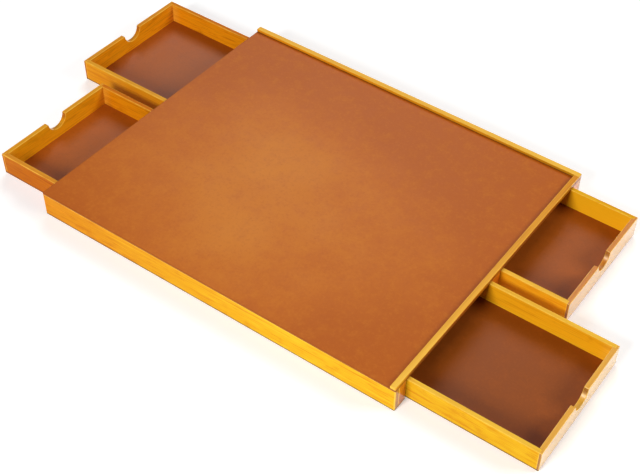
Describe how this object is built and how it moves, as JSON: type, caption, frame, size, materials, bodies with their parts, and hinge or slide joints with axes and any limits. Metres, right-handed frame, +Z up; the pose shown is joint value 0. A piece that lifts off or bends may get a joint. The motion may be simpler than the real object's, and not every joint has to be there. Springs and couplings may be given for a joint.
{
  "type": "jigsaw puzzle table with drawers",
  "caption": "Low wooden jigsaw table: a smooth work surface with a raised rim along the back and right edges, and shallow sliding drawers with finger notches in both short ends.",
  "frame": {"origin": "middle of the case's footprint on the surface it stands on", "axes": "+X along the long side to the right, +Y to the back, +Z up"},
  "size_m": [1.252, 0.64, 0.059],
  "materials": {
    "case_wood": "honey-stained softwood, satin lacquer",
    "rim_wood": "honey-stained softwood, satin lacquer, eased edges",
    "drawer_wood": "honey-stained softwood, satin lacquer, eased edges",
    "runner_wood": "thin softwood slats, thinly lacquered",
    "surface_board": "smooth tempered hardboard, matt",
    "drawer_floor_board": "smooth tempered hardboard, matt",
    "screw_steel": "zinc-plated, yellow passivated",
    "brad_steel": "bright steel"
  },
  "bodies": {
    "case": {"work_surface": "surface_board", "back_rim": "rim_wood", "right_rim": "rim_wood", "centre_divider": "case_wood", "front_board": "case_wood", "front_cross_rail": "case_wood", "front_left_post": "case_wood", "front_left_guide": "case_wood", "front_right_post": "case_wood", "front_right_guide": "case_wood", "back_board": "case_wood", "back_cross_rail": "case_wood", "back_left_post": "case_wood", "back_left_guide": "case_wood", "back_right_post": "case_wood", "back_right_guide": "case_wood", "left_end_runner": "runner_wood", "left_middle_runner": "runner_wood", "centre_runner": "runner_wood", "right_middle_runner": "runner_wood", "right_end_runner": "runner_wood", "runner_screws": "screw_steel"},
    "front_left_drawer": {"front_left_drawer_face": "drawer_wood", "front_left_drawer_outer_side": "drawer_wood", "front_left_drawer_inner_side": "drawer_wood", "front_left_drawer_back": "drawer_wood", "front_left_drawer_floor": "drawer_floor_board", "front_left_drawer_brads": "brad_steel"},
    "back_left_drawer": {"back_left_drawer_face": "drawer_wood", "back_left_drawer_outer_side": "drawer_wood", "back_left_drawer_inner_side": "drawer_wood", "back_left_drawer_back": "drawer_wood", "back_left_drawer_floor": "drawer_floor_board", "back_left_drawer_brads": "brad_steel"},
    "front_right_drawer": {"front_right_drawer_face": "drawer_wood", "front_right_drawer_outer_side": "drawer_wood", "front_right_drawer_inner_side": "drawer_wood", "front_right_drawer_back": "drawer_wood", "front_right_drawer_floor": "drawer_floor_board", "front_right_drawer_brads": "brad_steel"},
    "back_right_drawer": {"back_right_drawer_face": "drawer_wood", "back_right_drawer_outer_side": "drawer_wood", "back_right_drawer_inner_side": "drawer_wood", "back_right_drawer_back": "drawer_wood", "back_right_drawer_floor": "drawer_floor_board", "back_right_drawer_brads": "brad_steel"}
  },
  "joints": [
    {"name": "front_left_drawer_slide", "type": "slide", "parent": "case", "child": "front_left_drawer", "axis": [-1, 0, 0], "range_m": [-0.14, 0.16]},
    {"name": "back_left_drawer_slide", "type": "slide", "parent": "case", "child": "back_left_drawer", "axis": [-1, 0, 0], "range_m": [-0.22, 0.08]},
    {"name": "front_right_drawer_slide", "type": "slide", "parent": "case", "child": "front_right_drawer", "axis": [1, 0, 0], "range_m": [-0.252, 0.048]},
    {"name": "back_right_drawer_slide", "type": "slide", "parent": "case", "child": "back_right_drawer", "axis": [1, 0, 0], "range_m": [-0.138, 0.162]}
  ]
}
